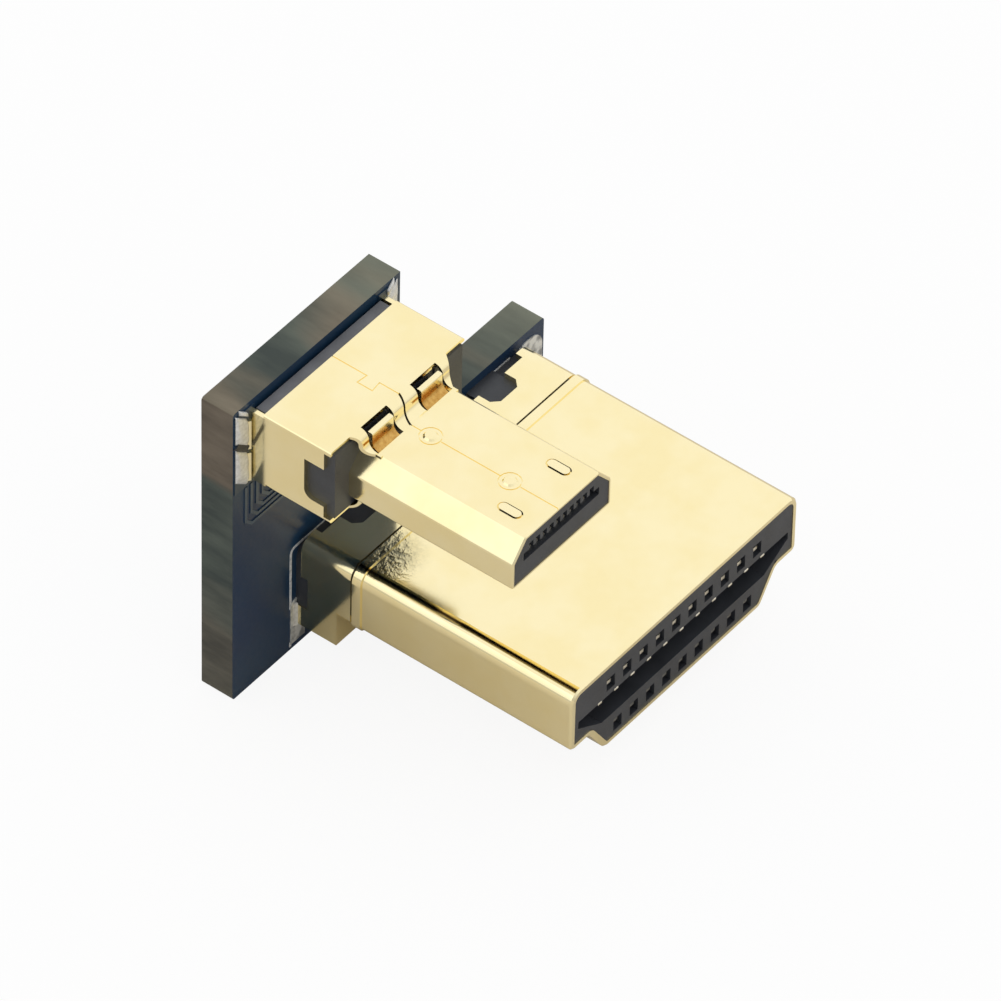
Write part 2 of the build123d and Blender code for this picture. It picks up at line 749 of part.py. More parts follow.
pad_cuts = wide_joints + micro_joints + [leg for leg, side in wide_legs] + [shell, wide_base()]

nodes = {
    "circuit_board": board(wide_pins + micro_pins, [leg for leg, side in wide_legs + micro_legs]),
    "wide_plug_front_shell": front_shell(),
    "wide_plug_rear_shell": rear_shell(),
    "wide_plug_insulator": wide_insulator(wide_contacts),
    "wide_plug_base": cut_all(wide_base(), wide_contacts),
    "micro_plug_shell": shell,
    "micro_plug_insulator": micro_insulator(micro_contacts, latches, shell),
    "micro_plug_base": micro_base(micro_contacts),
    "micro_latch_left": latches[0],
    "micro_latch_right": latches[1],
    "wide_leg_solder_left": wide_joints[0],
    "wide_leg_solder_right": wide_joints[1],
    "micro_leg_solder": Compound(children=micro_joints),
    "wide_pin_solder": Compound(children=[pin_joint(p, c) for p, c in zip(wide_pins, wide_contacts)]),
    "micro_pin_solder": Compound(children=[pin_joint(p, c) for p, c in zip(micro_pins, micro_contacts)]),
    "leg_pads": Compound(children=[cut_all(p, pad_cuts) for p in leg_pads()]),
    "signal_traces": Compound(children=[trace(i) for i in range(trace_count)]),
}
for prefix, contacts in (("wide_contact", wide_contacts), ("micro_contact", micro_contacts)):
    for i, contact in enumerate(contacts, 1):
        nodes[f"{prefix}_{i:02d}"] = contact

# Place the whole part with the middle of its footprint at the origin
shift = Pos(-board_w / 2, (wide_reach - wide_tail_end) / 2, 0)
os.makedirs("parts", exist_ok=True)
for name, solid in nodes.items():
    export_step(shift * solid, f"parts/{name}.step")
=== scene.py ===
import bmesh
import bpy
import math
from mathutils import Matrix, Vector


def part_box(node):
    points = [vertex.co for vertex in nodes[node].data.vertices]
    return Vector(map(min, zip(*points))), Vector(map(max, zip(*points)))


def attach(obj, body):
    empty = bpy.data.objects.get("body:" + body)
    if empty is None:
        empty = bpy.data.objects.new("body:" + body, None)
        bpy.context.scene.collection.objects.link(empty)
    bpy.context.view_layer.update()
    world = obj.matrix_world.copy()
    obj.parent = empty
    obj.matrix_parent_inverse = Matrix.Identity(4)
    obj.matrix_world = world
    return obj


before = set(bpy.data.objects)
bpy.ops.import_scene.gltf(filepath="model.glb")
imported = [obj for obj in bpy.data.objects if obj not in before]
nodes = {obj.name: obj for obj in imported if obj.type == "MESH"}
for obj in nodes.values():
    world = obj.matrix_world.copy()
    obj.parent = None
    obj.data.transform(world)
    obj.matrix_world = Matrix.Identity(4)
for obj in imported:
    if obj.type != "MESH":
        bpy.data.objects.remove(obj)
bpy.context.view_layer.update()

# Sizes and places are in mm, and MM turns them into metres
MM = 0.001

board_low, board_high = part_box("circuit_board")
board_front = board_low.y / MM
board_back = board_high.y / MM
board_left = board_low.x / MM
shell_low, shell_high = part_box("micro_plug_shell")
latch_low, latch_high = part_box("micro_latch_left")
insulator_low, insulator_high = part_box("wide_plug_insulator")


# Node helpers

class Tree:
    """A material's node tree with short calls for the nodes this scene uses."""

    def __init__(self, name):
        self.material = bpy.data.materials.new(name)
        self.material.use_nodes = True
        self.nodes = self.material.node_tree.nodes
        self.links = self.material.node_tree.links
        self.nodes.clear()
        self.out = self.nodes.new("ShaderNodeOutputMaterial")

    def add(self, kind, inputs=None, **settings):
        node = self.nodes.new(kind)
        for key, value in settings.items():
            setattr(node, key, value)
        for key, value in (inputs or {}).items():
            if isinstance(value, bpy.types.NodeSocket):
                self.links.new(value, node.inputs[key])
            else:
                node.inputs[key].default_value = value
        return node

    def shader(self, **inputs):
        names = {"color": "Base Color", "metallic": "Metallic", "roughness": "Roughness", "normal": "Normal",
                 "specular": "Specular IOR Level"}
        node = self.add("ShaderNodeBsdfPrincipled", {names[k]: v for k, v in inputs.items()})
        self.links.new(node.outputs[0], self.out.inputs["Surface"])
        return self.material

    def place(self):
        return self.add("ShaderNodeTexCoord").outputs["Object"]

    def facing(self):
        return self.add("ShaderNodeNewGeometry").outputs["Normal"]

    def axes(self, vector):
        return self.add("ShaderNodeSeparateXYZ", {"Vector": vector}).outputs

    def noise(self, scale, detail=3.0, roughness=0.5, vector=None, distortion=0.0):
        inputs = {"Vector": vector or self.place(), "Scale": scale, "Detail": detail, "Roughness": roughness,
                  "Distortion": distortion}
        return self.add("ShaderNodeTexNoise", inputs).outputs["Fac"]

    def ramp(self, factor, stops):
        node = self.add("ShaderNodeValToRGB", {"Fac": factor})
        ramp = node.color_ramp
        while len(ramp.elements) < len(stops):
            ramp.elements.new(0.5)
        for element, (position, color) in zip(ramp.elements, stops):
            element.position = position
            element.color = (*color, 1.0)
        return node.outputs["Color"]

    def span(self, factor, low, high, start=0.0, end=1.0):
        inputs = {"Value": factor, "From Min": start, "From Max": end, "To Min": low, "To Max": high}
        return self.add("ShaderNodeMapRange", inputs).outputs["Result"]

    def math(self, operation, a, b=0.0):
        node = self.add("ShaderNodeMath", operation=operation)
        for socket, value in zip(node.inputs, (a, b)):
            if isinstance(value, bpy.types.NodeSocket):
                self.links.new(value, socket)
            else:
                socket.default_value = value
        return node.outputs[0]

    def plus(self, a, b):
        return self.math("ADD", a, b)

    def times(self, a, b):
        return self.math("MULTIPLY", a, b)

    def mix(self, factor, a, b, blend="MIX"):
        node = self.add("ShaderNodeMix", data_type="RGBA", blend_type=blend)
        for key, value in ((0, factor), (6, a), (7, b)):
            if isinstance(value, bpy.types.NodeSocket):
                self.links.new(value, node.inputs[key])
            else:
                node.inputs[key].default_value = value if key == 0 else (*value, 1.0)
        return node.outputs[2]

    def bump(self, height, distance, strength=1.0, normal=None):
        inputs = {"Height": height, "Distance": distance, "Strength": strength}
        if normal:
            inputs["Normal"] = normal
        return self.add("ShaderNodeBump", inputs).outputs["Normal"]


# Materials

GOLD = (0.990, 0.878, 0.545)
GOLD_WARM = (0.972, 0.842, 0.480)
# Painted reflection colours for the latch ramps: gold mirrored in gold, dark and warm orange-brown
GOLD_PAINTED_REFLECTION_DARK = (0.50, 0.26, 0.06)
GOLD_PAINTED_REFLECTION_WARM = (0.72, 0.44, 0.13)
# Painted shade on the wide plug's top under the micro plug's nose
GOLD_PAINTED_SHADE = (0.090, 0.095, 0.070)
# Painted dark reflection along the wide plug's upper left fold
GOLD_PAINTED_FOLD_REFLECTION = (0.060, 0.045, 0.040)
TIN_GREY = (0.60, 0.60, 0.58)
TIN_BRIGHT = (0.86, 0.86, 0.84)
MASK_OVER_PAD = (0.012, 0.034, 0.066)
CONTACT_IN_SHADE = (0.10, 0.095, 0.08)

# Width in mm over which one finish turns into another where the line between them is sharp
SHARP = 0.01


def gold_layers(t, place, roughness, wave):
    """Colour, roughness and normal of bright plating on thin sheet that is never quite flat."""
    blotch = t.noise(420.0, 3.0, 0.6, vector=place)
    fine = t.noise(9000.0, 2.0, vector=place)
    color = t.ramp(blotch, [(0.35, GOLD_WARM), (0.62, GOLD)])
    even = t.span(fine, roughness - 0.02, roughness + 0.02)
    rough = t.plus(t.span(blotch, -0.02, 0.03, 0.3, 0.7), even)
    ripple = t.plus(t.noise(330.0, 2.0, vector=place), t.times(fine, 0.05))
    return color, rough, t.bump(ripple, wave * MM, 0.6)


def gold(name, roughness, wave=0.004):
    """Bright plating; wave is the height of its ripples in mm."""
    t = Tree(name)
    color, rough, normal = gold_layers(t, t.place(), roughness, wave)
    return t.shader(color=color, metallic=1.0, roughness=rough, normal=normal)


def gold_with_painted_shade(name, roughness, centre, radius, rear, wave=0.004):
    """Bright plating with painted shade: a dark patch under the micro plug's nose up to the rear rim, broken
    up by rough pit-like bumps, and a painted dark reflection along its upper left fold.
    """
    rim_fade = 0.15
    t = Tree(name)
    place = t.place()
    color, rough, normal = gold_layers(t, place, roughness, wave)
    centre_m = tuple(c * MM for c in centre)
    offset = t.add("ShaderNodeVectorMath", {0: place, 1: centre_m}, operation="DISTANCE").outputs["Value"]
    before_rim = t.span(t.axes(place)["Y"], 1.0, 0.0, (rear - rim_fade) * MM, rear * MM)
    near = t.times(before_rim, t.span(offset, 1.0, 0.0, radius * 0.2 * MM, radius * MM))
    pits_and_shade = t.span(t.noise(4300.0, 3.0, 0.6, vector=place, distortion=0.2), 0.0, 1.0, 0.38, 0.62)
    # Painted shade: near the centre the plating turns nearly black, broken up by the pit pattern
    dark = t.times(t.math("POWER", near, 1.6), t.span(pits_and_shade, 0.85, 0.35))
    color = t.mix(dark, color, GOLD_PAINTED_SHADE)
    # The fold is where the surface has turned from facing up by roughly 10 to 25 degrees, towards the left;
    # there the colour is darkened, a painted reflection of the micro plug's nose
    facing = t.axes(t.facing())
    turned = t.span(facing["Z"], 1.0, 0.0, 0.97, 0.995)
    still_high = t.span(facing["Z"], 0.0, 1.0, 0.88, 0.94)
    to_left = t.span(facing["X"], 1.0, 0.0, -0.15, -0.05)
    color = t.mix(t.times(t.times(still_high, turned), to_left), color, GOLD_PAINTED_FOLD_REFLECTION)
    normal = t.bump(t.times(pits_and_shade, near), 0.02 * MM, 0.4, normal)
    return t.shader(color=color, metallic=1.0, roughness=rough, normal=normal)


def latch_gold(name, ramp_top, ramp_front):
    """Gold with a painted reflection: dark orange-brown on the low ramp at the tab, standing in for the gold
    around it mirrored in the bend, and bright above and in front of it.
    """
    t = Tree(name)
    place = t.place()
    along = t.axes(place)
    wander = t.span(t.noise(1800.0, 2.0, vector=place), -0.08 * MM, 0.08 * MM)
    low = t.span(t.plus(along["Z"], wander), 1.0, 0.0, (ramp_top - 0.16) * MM, ramp_top * MM)
    # Painted reflection: the low ramp towards the rear end takes the dark orange-brown colours of gold
    # mirrored in gold
    painted_reflection = t.times(low, t.span(along["Y"], 0.0, 1.0, (ramp_front - 0.2) * MM, ramp_front * MM))
    grain = t.noise(6000.0, 3.0, vector=place)
    brown = t.ramp(grain, [(0.3, GOLD_PAINTED_REFLECTION_DARK), (0.7, GOLD_PAINTED_REFLECTION_WARM)])
    rough = t.span(grain, 0.16, 0.3)
    normal = t.bump(grain, 0.004 * MM, 0.5)
    return t.shader(color=t.mix(painted_reflection, GOLD, brown), metallic=1.0, roughness=rough, normal=normal)


def plastic(name, color, roughness=0.42):
    t = Tree(name)
    speck = t.noise(14000.0, 2.0)
    cloud = t.noise(900.0, 3.0)
    lighter = tuple(min(1.0, c * 1.5) for c in color)
    tone = t.ramp(cloud, [(0.3, color), (0.75, lighter)])
    rough = t.span(speck, roughness - 0.06, roughness + 0.1)
    return t.shader(color=tone, roughness=rough, normal=t.bump(speck, 0.004 * MM, 0.5))


def solder_metal(name):
    t = Tree(name)
    grain = t.noise(5200.0, 4.0, 0.6)
    lumps = t.noise(1500.0, 2.0)
    color = t.ramp(grain, [(0.3, TIN_GREY), (0.7, TIN_BRIGHT)])
    normal = t.bump(t.plus(lumps, t.times(grain, 0.25)), 0.04 * MM, 0.8)
    return t.shader(color=color, metallic=0.55, roughness=t.span(grain, 0.3, 0.52), normal=normal)


def leg_joint(name, board_middle):
    """Joints of the micro plug's legs: plated like the legs in front of the board, tin on its back."""
    t = Tree(name)
    place = t.place()
    behind = t.span(t.axes(place)["Y"], 0.0, 1.0, board_middle * MM, (board_middle + SHARP) * MM)
    grain = t.noise(5200.0, 4.0, 0.6, vector=place)
    tin = t.ramp(grain, [(0.3, TIN_GREY), (0.7, TIN_BRIGHT)])
    rough = t.plus(t.span(grain, 0.10, 0.18), t.times(behind, 0.22))
    normal = t.bump(t.times(grain, t.span(behind, 0.1, 1.0)), 0.02 * MM, 0.6)
    metallic = t.span(behind, 1.0, 0.55)
    return t.shader(color=t.mix(behind, GOLD, tin), metallic=metallic, roughness=rough, normal=normal)


def contact_metal(name, painted_shade_before=None):
    """Plated contact; in front of the given depth it takes painted shade, a dark and less metallic colour for
    being out of the light in its slot.
    """
    t = Tree(name)
    place = t.place()
    grain = t.noise(7000.0, 3.0, vector=place)
    color = t.ramp(grain, [(0.3, (0.70, 0.64, 0.50)), (0.7, (0.92, 0.88, 0.76))])
    metallic = 0.9
    if painted_shade_before is not None:
        # Painted shade in front of the given depth, plated colour behind it
        plated = t.span(t.axes(place)["Y"], 0.0, 1.0, (painted_shade_before - 0.2) * MM, painted_shade_before * MM)
        color = t.mix(plated, CONTACT_IN_SHADE, color)
        metallic = t.span(plated, 0.0, 0.9)
    rough = t.span(grain, 0.2, 0.4)
    return t.shader(color=color, metallic=metallic, roughness=rough, normal=t.bump(grain, 0.003 * MM, 0.4))


def edge_color(t, place, facing, bands, patches):
    """Bare glass fibre on the cut edges: brown high up and low down, green between, and paler where it faces
    up, which is painted light on the top edges.
    """
    brown_above = (10.3, 10.9)
    brown_below = (3.5, 5.0)
    top_edge = (14.0, 14.5)
    top_end = (-3.0, 0.5)
    ledge_end = (6.5, 9.4)
    drift = 3.0
    along = t.axes(place)
    height = t.plus(along["Z"], t.span(patches, -drift * MM, drift * MM))
    upper_part = t.span(height, 0.0, 1.0, brown_above[0] * MM, brown_above[1] * MM)
    lower_part = t.span(height, 0.55, 0.0, brown_below[0] * MM, brown_below[1] * MM)
    facing_up = t.span(t.axes(facing)["Z"], 0.0, 1.0, 0.5, 0.7)
    side_share = t.math("MAXIMUM", upper_part, lower_part)
    share = t.span(facing_up, side_share, t.span(patches, 0.0, 1.0, 0.44, 0.58))
    brown = t.ramp(bands, [(0.32, (0.062, 0.048, 0.034)), (0.68, (0.135, 0.108, 0.078))])
    green = t.ramp(bands, [(0.32, (0.026, 0.038, 0.036)), (0.68, (0.066, 0.082, 0.068))])
    edge = t.mix(share, green, brown)
    # Painted light: up-facing edges are lifted towards pale tan, most near the top end and the ledge end
    near_top_end = t.times(t.span(along["X"], 0.0, 1.0, top_end[0] * MM, top_end[1] * MM),
                           t.span(along["Z"], 0.0, 1.0, top_edge[0] * MM, top_edge[1] * MM))
    near_ledge_end = t.span(along["X"], 0.0, 1.0, ledge_end[0] * MM, ledge_end[1] * MM)
    ends = t.math("MAXIMUM", near_top_end, near_ledge_end)
    painted_light_on_top = t.plus(t.span(ends, 0.04, 0.38), t.span(patches, 0.0, 0.16, 0.38, 0.62))
    return t.mix(facing_up, edge, t.mix(painted_light_on_top, edge, (0.30, 0.29, 0.20), "ADD"))


def board_material(name):
    """Blue mask on the faces and bare glass fibre on the cut edges, told apart by the surface's direction,
    with a painted teal highlight on the rounded rims between them.
    """
    t = Tree(name)
    place = t.place()
    facing = t.facing()
    turned = t.math("ABSOLUTE", t.axes(facing)["Y"])
    face = t.span(turned, 0.0, 1.0, 0.80, 0.92)
    painted_rim_highlight = t.span(turned, 0.0, 1.0, 0.45, 0.60)
    stretched = t.add("ShaderNodeMapping", {"Vector": place, "Scale": (1.0, 0.25, 1.0)}).outputs[0]
    patches = t.noise(300.0, 2.0, 0.5, vector=stretched)
    bands = t.noise(1100.0, 3.0, 0.6, vector=stretched)
    fibre = t.noise(5200.0, 2.0, vector=stretched)
    # Painted highlight: light teal on the rounded rims between the faces and the cut edges
    edge = t.mix(painted_rim_highlight, edge_color(t, place, facing, bands, patches), (0.020, 0.085, 0.105))
    cloud = t.noise(230.0, 2.0, vector=place)
    mask = t.ramp(cloud, [(0.35, (0.009, 0.028, 0.072)), (0.7, (0.012, 0.038, 0.075))])
    rough = t.plus(t.times(face, -0.2), t.span(fibre, 0.44, 0.6))
    normal = t.bump(t.plus(t.times(bands, 0.5), t.times(fibre, 0.3)), 0.006 * MM, 0.5)
    return t.shader(color=t.mix(face, edge, mask), roughness=rough, specular=0.28, normal=normal)


def mask_copper(name):
    t = Tree(name)
    cloud = t.noise(1500.0, 3.0)
    color = t.ramp(cloud, [(0.3, (0.022, 0.046, 0.085)), (0.7, (0.034, 0.066, 0.105))])
    return t.shader(color=color, roughness=t.span(cloud, 0.28, 0.42), normal=t.bump(cloud, 0.006 * MM, 0.5))


def print_white(name):
    t = Tree(name)
    worn = t.noise(6000.0, 4.0, 0.7)
    color = t.ramp(worn, [(0.35, (0.33, 0.34, 0.36)), (0.6, (0.66, 0.67, 0.68))])
    return t.shader(color=color, roughness=t.span(worn, 0.5, 0.7), normal=t.bump(worn, 0.006 * MM, 0.6))


def pad_metal(name, masked_above):
    """Tinned copper; above the given height the pads are under the blue mask."""
    t = Tree(name)
    place = t.place()
    masked = t.span(t.axes(place)["Z"], 0.0, 1.0, masked_above * MM, (masked_above + SHARP) * MM)
    grain = t.noise(5200.0, 4.0, 0.6, vector=place)
    lumps = t.noise(2300.0, 2.0, vector=place)
    tin = t.ramp(lumps, [(0.36, (0.26, 0.27, 0.28)), (0.60, (0.76, 0.77, 0.75))])
    color = t.mix(masked, tin, MASK_OVER_PAD)
    rough = t.span(grain, 0.3, 0.5)
    normal = t.bump(grain, 0.01 * MM, 0.6)
    return t.shader(color=color, metallic=t.span(masked, 0.5, 0.0), roughness=rough, normal=normal)


# Height between the full size plug's pads, which are bare, and the micro plug's
PADS_MASKED_ABOVE = 9.0
# The painted reflection on a latch lies at least this far below its top and reaches this far forward from its
# rear end
RAMP_DROP = 0.36
RAMP_LENGTH = 1.0

gold_front = gold_with_painted_shade("bright_gold", 0.09, centre=(-4.05, 2.25, 5.8), radius=1.7, rear=2.85)
gold_rear = gold("gold_rear_shell", 0.10)
gold_small = gold("gold_micro_plug", 0.13, 0.003)
latch_painted_reflection = latch_gold("latch_gold", latch_high.z / MM - RAMP_DROP, latch_high.y / MM - RAMP_LENGTH)
black = plastic("black_plastic", (0.024, 0.0265, 0.032))
# Painted light: the micro plug's base is the black plastic made lighter, for its top that faces up
spacer_black_painted_light = plastic("spacer_plastic", (0.105, 0.108, 0.118), 0.5)
mask_black = plastic("mask_bridge", (0.012, 0.014, 0.020), 0.35)
solder = solder_metal("tin_solder")
leg_metal = leg_joint("leg_joint", (board_front + board_back) / 2)
contact = contact_metal("contact_plating")
contact_painted_shade = contact_metal("contact_in_shade", board_front)
board = board_material("board_mask_and_edge")
copper = mask_copper("copper_under_mask")
pads = pad_metal("pad_metal", PADS_MASKED_ABOVE)
white_print = print_white("white_print")

# What each CAD node is made of and how far its edges are rounded; the rest are bright contacts
node_finish = {
    "circuit_board": (board, 0.03),
    "wide_plug_front_shell": (gold_front, 0.03),
    "wide_plug_rear_shell": (gold_rear, 0.03),
    "wide_plug_insulator": (black, 0.02),
    "wide_plug_base": (black, 0.03),
    "wide_pin_solder": (solder, 0.12),
    "wide_leg_solder_left": (solder, 0.1),
    "wide_leg_solder_right": (solder, 0.1),
    "micro_plug_shell": (gold_small, 0.02),
    "micro_plug_insulator": (black, 0.015),
    "micro_plug_base": (spacer_black_painted_light, 0.03),
    "micro_latch_left": (latch_painted_reflection, 0),
    "micro_latch_right": (latch_painted_reflection, 0),
    "micro_pin_solder": (solder, 0.1),
    "micro_leg_solder": (leg_metal, 0),
    "leg_pads": (pads, 0),
    "signal_traces": (copper, 0),
}
for number in range(11, 20):
    node_finish[f"wide_contact_{number:02d}"] = (contact_painted_shade, 0)


def smooth(obj, edge_mm, segments=2):
    """Small rounded edges that catch the light, and shading that stays flat on flat faces."""
    for polygon in obj.data.polygons:
        polygon.use_smooth = True
    if edge_mm:
        bevel = obj.modifiers.new("edge", "BEVEL")
        bevel.width = edge_mm * MM
        bevel.segments = segments
        bevel.limit_method = "ANGLE"
        bevel.angle_limit = math.radians(35)
        bevel.harden_normals = True
        bevel.use_clamp_overlap = True
    weighted = obj.modifiers.new("shading", "WEIGHTED_NORMAL")
    weighted.keep_sharp = True


for name, obj in nodes.items():
    look, edge_mm = node_finish.get(name, (contact, 0))
    obj.data.materials.clear()
    obj.data.materials.append(look)
    smooth(obj, edge_mm, 3 if "pin_solder" in name else 2)


# Pieces that only the scene has

def finish_piece(name, mesh, look):
    bmesh.ops.recalc_face_normals(mesh, faces=mesh.faces)
    data = bpy.data.meshes.new(name)
    mesh.to_mesh(data)
    mesh.free()
    data.materials.append(look)
    obj = bpy.data.objects.new(name, data)
    bpy.context.scene.collection.objects.link(obj)
    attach(obj, "root")
    return obj


def rounded_path(points, corner):
    """Path through flat points whose inner corners are rounded, starting the turn at the given distance."""
    steps = 6
    path = [Vector(point) for point in points]
    rounded = [path[0]]
    for before, here, after in zip(path, path[1:], path[2:]):
        start = here + (before - here).normalized() * corner
        end = here + (after - here).normalized() * corner
        for step in range(steps + 1):
            u = step / steps
            rounded.append(start * (1 - u) ** 2 + here * 2 * u * (1 - u) + end * u ** 2)
    rounded.append(path[-1])
    return rounded


def strip_along(name, points, width, thickness, corner=0.0, look=white_print):
    """Flat strip on the board's front face through (X, Z) places, narrower on top than at its foot."""
    top_share = 0.8
    path = rounded_path(points, corner)
    mesh = bmesh.new()
    rows = []
    for i, here in enumerate(path):
        before = path[max(i - 1, 0)]
        after = path[min(i + 1, len(path) - 1)]
        run = (after - before).normalized()
        side = Vector((-run.y, run.x)) * width / 2
        row = []
        for rise, share in ((0.0, -1.0), (thickness, -top_share), (thickness, top_share), (0.0, 1.0)):
            place = here + side * share
            row.append(mesh.verts.new(Vector((place.x, board_front - rise, place.y)) * MM))
        rows.append(row)
    for a, b in zip(rows, rows[1:]):
        for j in range(4):
            mesh.faces.new((a[j], a[(j + 1) % 4], b[(j + 1) % 4], b[j]))
    mesh.faces.new(rows[0])
    mesh.faces.new(reversed(rows[-1]))
    return finish_piece(name, mesh, look)


def contact_nose(name, x, y, z):
    """Rounded end of a spring contact at the cavity's upper edge: a short strip rolled at its front."""
    half_width, thick, length = 0.12, 0.13, 0.16
    roll_steps = 6
    profile = [(0.0, 0.0), (0.0, thick)]
    for step in range(roll_steps + 1):
        turn = math.pi * step / roll_steps
        profile.append((length + math.sin(turn) * thick / 2, thick / 2 + math.cos(turn) * thick / 2))
    mesh = bmesh.new()
    sides = []
    for side in (-half_width, half_width):
        places = [(x + side, y + length - run, z + rise) for run, rise in profile]
        sides.append([mesh.verts.new(Vector(place) * MM) for place in places])
    count = len(profile)
    for i in range(count):
        j = (i + 1) % count
        mesh.faces.new((sides[0][i], sides[0][j], sides[1][j], sides[1][i]))
    mesh.faces.new(sides[0])
    mesh.faces.new(reversed(sides[1]))
    smooth(finish_piece(name, mesh, contact), 0.02)


def solder_mound(name, x0, x1, z0, z1, rise, high_side):
    """Lump of solder on the board's front face, thicker and lower down on the side where it meets the leg."""
    across_count, along_count = 9, 15
    slant = 0.8
    rim_height = 0.045
    mesh = bmesh.new()
    grid = []
    for i in range(across_count):
        u = i / (across_count - 1)
        climb = u if high_side > 0 else 1 - u
        drop = slant * (climb - 0.5) * (x1 - x0)
        swell = math.sqrt(max(0.0, 1 - (1 - min(1.0, climb * 1.35 + 0.001)) ** 2))
        row = []
        for j in range(along_count):
            v = j / (along_count - 1)
            crown = (1 - abs(2 * v - 1) ** 3) ** 0.6
            wobble = 1 + 0.10 * math.sin(9.1 * v + 2.3 * u + x0) + 0.06 * math.sin(17.3 * v - 4.0 * u)
            y = board_front - rim_height - rise * crown * swell * wobble
            place = (x0 + (x1 - x0) * u, y, z0 + (z1 - z0) * v - drop)
            row.append(mesh.verts.new(Vector(place) * MM))
        grid.append(row)
    for a, b in zip(grid, grid[1:]):
        for j in range(along_count - 1):
            mesh.faces.new((a[j], a[j + 1], b[j + 1], b[j]))
    low_rim = [row[0] for row in grid]
    high_rim = [row[-1] for row in reversed(grid[:-1])]
    rim = low_rim + grid[-1][1:] + high_rim + grid[0][-2:0:-1]
    foot = [mesh.verts.new(Vector((v.co.x, board_front * MM, v.co.z))) for v in rim]
    for i in range(len(rim)):
        j = (i + 1) % len(rim)
        mesh.faces.new((rim[i], rim[j], foot[j], foot[i]))
    mesh.faces.new(foot)
    smooth(finish_piece(name, mesh, solder), 0)


# Printed outline of the wide plug on the board: up its left side, over the top, and a bit at the right
LINE_W = 0.13
LINE_T = 0.015
LINE_CORNER = 0.3
print_left, print_top = board_left + 3.47, 5.37
upper_line = [(print_left, 2.2), (print_left, print_top), (board_left + 16.8, print_top)]
strip_along("printed_outline_left", upper_line, LINE_W, LINE_T, LINE_CORNER)
right_line = [(board_left + 17.37, print_top), (board_left + 17.79, print_top)]
strip_along("printed_outline_right", right_line, LINE_W, LINE_T)
foot_line = [(print_left, 0.16), (print_left, 0.42)]
strip_along("printed_outline_foot", foot_line, LINE_W, LINE_T)

# Solder on both sides of the micro plug, two lumps for its two legs with mask between them and a dot on top
MOUND_W = 0.62
MOUND_RISE = 0.13
MOUND_GAP = 0.19
LOW_MOUND = (11.28, 13.01)
HIGH_MOUND = (13.29, 14.72)
DOT = (14.76, 14.98)
DOT_RISE = 0.10
DOT_CUT = 0.2
BRIDGE_Z = 13.15
BRIDGE_W = 0.34
BRIDGE_T = 0.10
BRIDGE_DROP = 0.28
BRIDGE_OVERHANG = 0.02
BRIDGE_SHIFT = 0.04
left_mound = shell_low.x / MM - MOUND_GAP - MOUND_W
right_mound = shell_high.x / MM + MOUND_GAP
for side_name, x0, high_side in (("left", left_mound, 1), ("right", right_mound, -1)):
    x1 = x0 + MOUND_W
    solder_mound(f"solder_low_{side_name}", x0, x1, *LOW_MOUND, MOUND_RISE, high_side)
    solder_mound(f"solder_high_{side_name}", x0, x1, *HIGH_MOUND, MOUND_RISE, high_side)
    dot_x = max(x0, x0 + high_side * DOT_CUT)
    solder_mound(f"solder_dot_{side_name}", dot_x, dot_x + MOUND_W - DOT_CUT, *DOT, DOT_RISE, high_side)
    inward = high_side * BRIDGE_SHIFT
    drop = high_side * BRIDGE_DROP
    left_end = (x0 - BRIDGE_OVERHANG + inward, BRIDGE_Z + drop)
    right_end = (x1 + BRIDGE_OVERHANG + inward, BRIDGE_Z - drop)
    strip_along(f"mask_bridge_{side_name}", [left_end, right_end], BRIDGE_W, BRIDGE_T, look=mask_black)

# Contact ends along the upper edge of the wide plug's cavity, the first of them left of the first opening
NOSE_COUNT = 11
NOSE_STEP = 1.0
NOSE_OFFSET = 0.34
NOSE_Z = 3.97
NOSE_SETBACK = 0.04
first_low, first_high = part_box("wide_contact_01")
first_nose = (first_low.x + first_high.x) / 2 / MM + NOSE_OFFSET - NOSE_STEP
for number in range(NOSE_COUNT):
    nose_x = first_nose + number * NOSE_STEP
    contact_nose(f"contact_nose_{number + 1:02d}", nose_x, insulator_low.y / MM + NOSE_SETBACK, NOSE_Z)


# Stage, light and camera, in metres

FLOOR_HALF = 1.5
FLOOR_COLOR = (0.90, 0.90, 0.90)
FLOOR_IN_METAL = (0.70, 0.655, 0.585)
WHITE = (1.0, 1.0, 1.0)
CAMERA_WHITE_SHARE = 0.90


def stage_material(name, color, mirror_color):
    """Pale floor that metal mirrors a little darker and the camera sees near white with a faint shadow."""
    t = Tree(name)
    path = t.add("ShaderNodeLightPath").outputs
    tone = t.mix(t.span(t.noise(60.0, 2.0), 0.0, 0.02), color, WHITE)
    tone = t.mix(path["Is Glossy Ray"], tone, mirror_color)
    matte = t.add("ShaderNodeBsdfDiffuse", {"Color": tone})
    white = t.add("ShaderNodeEmission", {"Color": (*WHITE, 1.0), "Strength": 1.0})
    share = t.times(path["Is Camera Ray"], CAMERA_WHITE_SHARE)
    mixed = t.add("ShaderNodeMixShader", {0: share, 1: matte.outputs[0], 2: white.outputs[0]})
    t.links.new(mixed.outputs[0], t.out.inputs["Surface"])
    return t.material


floor_mesh = bpy.data.meshes.new("floor")
floor_corners = [(x * FLOOR_HALF, y * FLOOR_HALF, 0) for x, y in ((-1, -1), (1, -1), (1, 1), (-1, 1))]
floor_mesh.from_pydata(floor_corners, [], [(0, 1, 2, 3)])
floor = bpy.data.objects.new("floor", floor_mesh)
bpy.context.scene.collection.objects.link(floor)
floor.data.materials.append(stage_material("pale_floor", FLOOR_COLOR, FLOOR_IN_METAL))

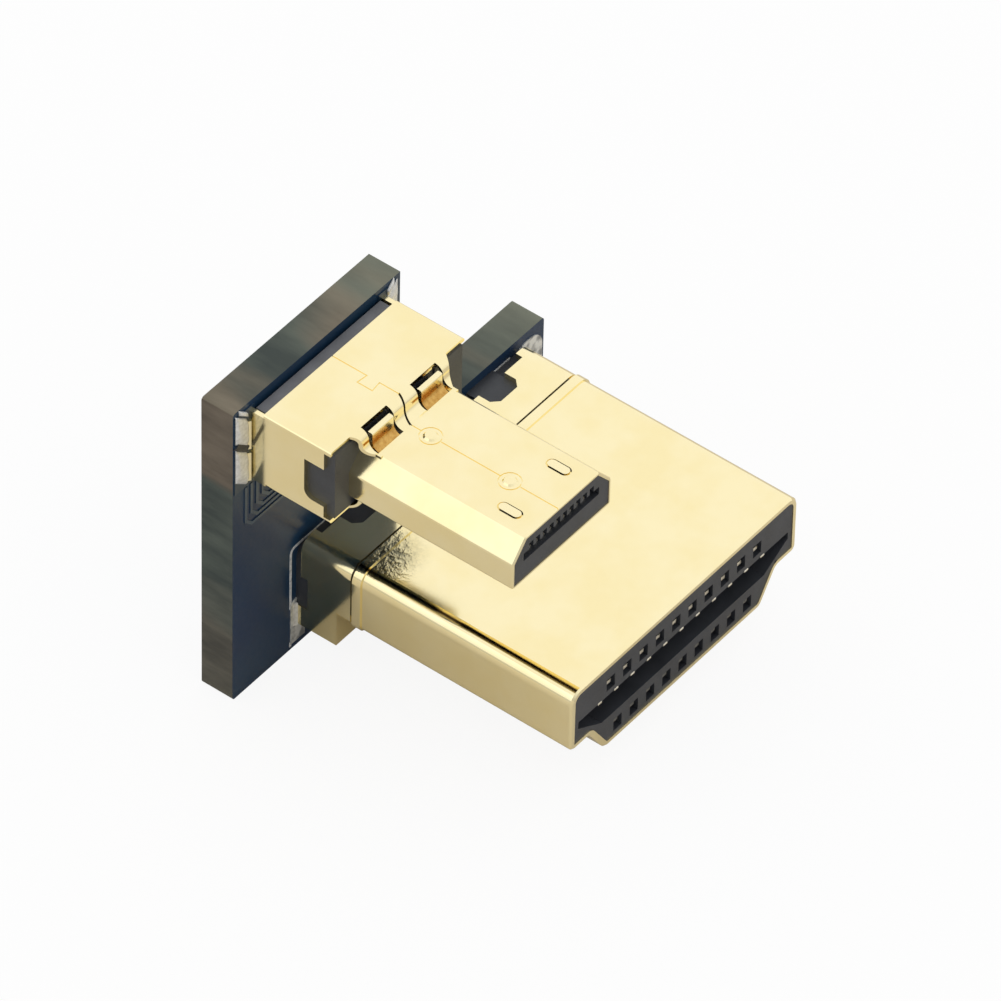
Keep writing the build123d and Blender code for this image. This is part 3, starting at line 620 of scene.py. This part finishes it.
# The room is bright above and to the right, and dimmer low on the left
BRIGHT_SIDE = (0.55, 0.25, 0.80)
world = bpy.data.worlds.new("studio")
bpy.context.scene.world = world
world.use_nodes = True
wn, wl = world.node_tree.nodes, world.node_tree.links
wn.clear()
world_out = wn.new("ShaderNodeOutputWorld")
background = wn.new("ShaderNodeBackground")
background.inputs["Color"].default_value = (*WHITE, 1.0)
wl.new(background.outputs[0], world_out.inputs[0])
direction = wn.new("ShaderNodeTexCoord").outputs["Generated"]
towards = wn.new("ShaderNodeVectorMath")
towards.operation = "DOT_PRODUCT"
towards.inputs[1].default_value = BRIGHT_SIDE
wl.new(direction, towards.inputs[0])
level = wn.new("ShaderNodeMapRange")
for key, value in (("From Min", -0.45), ("From Max", 0.45), ("To Min", 0.55), ("To Max", 1.0)):
    level.inputs[key].default_value = value
wl.new(towards.outputs["Value"], level.inputs["Value"])
wl.new(level.outputs["Result"], background.inputs["Strength"])

# One soft panel behind and to the left, for the gleam on the micro plug's left chamfer
PANEL_PLACE = Vector((-0.32, 0.17, 0.18))
PANEL_TARGET = Vector((0.0, 0.0, 0.006))
panel = bpy.data.lights.new("back_left_panel", "AREA")
panel.shape = "RECTANGLE"
panel.size = 0.26
panel.size_y = 0.26
panel.energy = 0.085
panel.color = (0.94, 0.98, 1.0)
panel_lamp = bpy.data.objects.new("back_left_panel", panel)
panel_lamp.location = PANEL_PLACE
panel_lamp.rotation_euler = (PANEL_TARGET - PANEL_PLACE).to_track_quat("-Z", "Y").to_euler()
bpy.context.scene.collection.objects.link(panel_lamp)

bpy.context.scene.view_settings.view_transform = "Standard"

# The photograph's view: a long lens, turned 52.7 degrees to the left and 45.1 degrees up
azimuth, elevation, roll = math.radians(-52.72), math.radians(45.1), math.radians(1.39)
lens_px, frame_px = 11778.0, 1001.0
distance = 442.9 * MM
pivot = Vector((-1.45, -0.5, 6.0)) * MM
pivot_off_centre_px = (-9.8, 43.3)

right = Vector((math.cos(azimuth), math.sin(azimuth), 0.0))
outward = Vector((math.sin(azimuth), -math.cos(azimuth), 0.0))
back = outward * math.cos(elevation) + Vector((0.0, 0.0, math.sin(elevation)))
up = back.cross(right)
cam_right = right * math.cos(roll) + up * math.sin(roll)
cam_up = up * math.cos(roll) - right * math.sin(roll)
per_px = distance / lens_px
aim = pivot - cam_right * pivot_off_centre_px[0] * per_px + cam_up * pivot_off_centre_px[1] * per_px

camera_data = bpy.data.cameras.new("camera")
camera_data.sensor_width = 36.0
camera_data.lens = lens_px / frame_px * camera_data.sensor_width
camera_data.clip_start = 0.01
camera_data.clip_end = 10.0
camera = bpy.data.objects.new("camera", camera_data)
bpy.context.scene.collection.objects.link(camera)
turn = Matrix((cam_right, cam_up, back)).transposed()
camera.matrix_world = Matrix.Translation(aim + back * distance) @ turn.to_4x4()
bpy.context.scene.camera = camera
